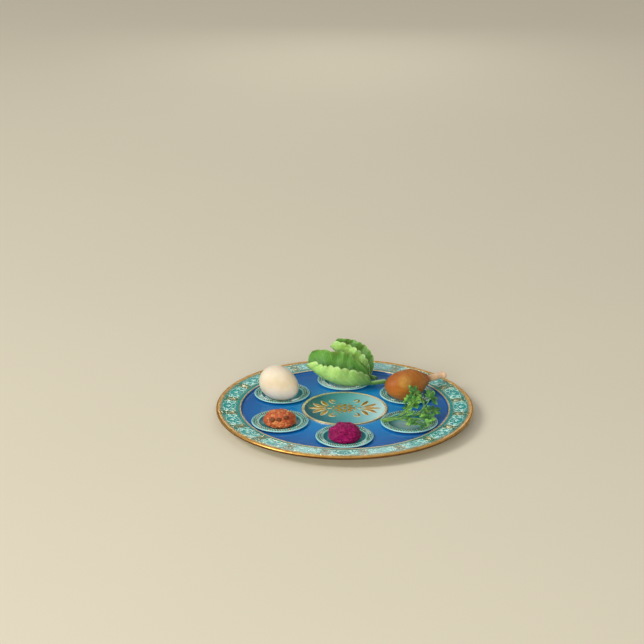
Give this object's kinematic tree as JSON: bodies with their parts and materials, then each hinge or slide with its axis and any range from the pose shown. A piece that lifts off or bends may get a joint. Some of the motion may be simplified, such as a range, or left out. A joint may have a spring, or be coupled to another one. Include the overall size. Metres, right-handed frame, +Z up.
{
  "type": "seder plate",
  "caption": "Round glazed porcelain platter with a wide rim, a raised middle and loose saucers in seats, each holding a food.",
  "frame": {"origin": "middle of the plate, level with the underside of its foot rings", "axes": "+Z up, -Y towards the viewer through the horseradish saucer, +X to the viewer's right"},
  "size_m": [0.35, 0.35, 0.0638],
  "materials": {
    "plate_glaze": "gloss",
    "saucer_glaze": "gloss",
    "egg_shell": "satin",
    "roasted_meat": "satin",
    "bone": "satin",
    "inner_leaf": "satin",
    "outer_leaf": "satin",
    "parsley_leaf": "satin",
    "fruit_paste": "satin",
    "nut": "matte",
    "beet_root": "satin"
  },
  "bodies": {
    "plate": {"plate": "plate_glaze"},
    "saucer_lettuce": {"saucer_lettuce": "saucer_glaze"},
    "lettuce": {"lettuce_inner_leaf": "inner_leaf", "lettuce_outer_leaf": "outer_leaf"},
    "saucer_egg": {"saucer_egg": "saucer_glaze"},
    "egg": {"egg": "egg_shell"},
    "saucer_charoset": {"saucer_charoset": "saucer_glaze"},
    "charoset": {"charoset_mound": "fruit_paste", "charoset_nut_left": "nut", "charoset_nut_middle": "nut", "charoset_nut_right": "nut"},
    "saucer_horseradish": {"saucer_horseradish": "saucer_glaze"},
    "horseradish": {"horseradish_mound": "beet_root"},
    "saucer_parsley": {"saucer_parsley": "saucer_glaze"},
    "parsley": {"parsley_sprig_low": "parsley_leaf", "parsley_sprig_side": "parsley_leaf", "parsley_sprig_tall": "parsley_leaf"},
    "saucer_shank": {"saucer_shank": "saucer_glaze"},
    "shank": {"shank_meat": "roasted_meat", "shank_bone": "bone"}
  },
  "joints": [
    {"name": "lift_saucer_lettuce", "type": "slide", "parent": "plate", "child": "saucer_lettuce", "axis": [0, 0, 1], "range_m": [0, 0.1]},
    {"name": "lift_lettuce", "type": "slide", "parent": "saucer_lettuce", "child": "lettuce", "axis": [0, 0, 1], "range_m": [0, 0.1]},
    {"name": "lift_saucer_egg", "type": "slide", "parent": "plate", "child": "saucer_egg", "axis": [0, 0, 1], "range_m": [0, 0.1]},
    {"name": "lift_egg", "type": "slide", "parent": "saucer_egg", "child": "egg", "axis": [0, 0, 1], "range_m": [0, 0.1]},
    {"name": "lift_saucer_charoset", "type": "slide", "parent": "plate", "child": "saucer_charoset", "axis": [0, 0, 1], "range_m": [0, 0.1]},
    {"name": "lift_charoset", "type": "slide", "parent": "saucer_charoset", "child": "charoset", "axis": [0, 0, 1], "range_m": [0, 0.1]},
    {"name": "lift_saucer_horseradish", "type": "slide", "parent": "plate", "child": "saucer_horseradish", "axis": [0, 0, 1], "range_m": [0, 0.1]},
    {"name": "lift_horseradish", "type": "slide", "parent": "saucer_horseradish", "child": "horseradish", "axis": [0, 0, 1], "range_m": [0, 0.1]},
    {"name": "lift_saucer_parsley", "type": "slide", "parent": "plate", "child": "saucer_parsley", "axis": [0, 0, 1], "range_m": [0, 0.1]},
    {"name": "lift_parsley", "type": "slide", "parent": "saucer_parsley", "child": "parsley", "axis": [0, 0, 1], "range_m": [0, 0.1]},
    {"name": "lift_saucer_shank", "type": "slide", "parent": "plate", "child": "saucer_shank", "axis": [0, 0, 1], "range_m": [0, 0.1]},
    {"name": "lift_shank", "type": "slide", "parent": "saucer_shank", "child": "shank", "axis": [0, 0, 1], "range_m": [0, 0.1]}
  ]
}
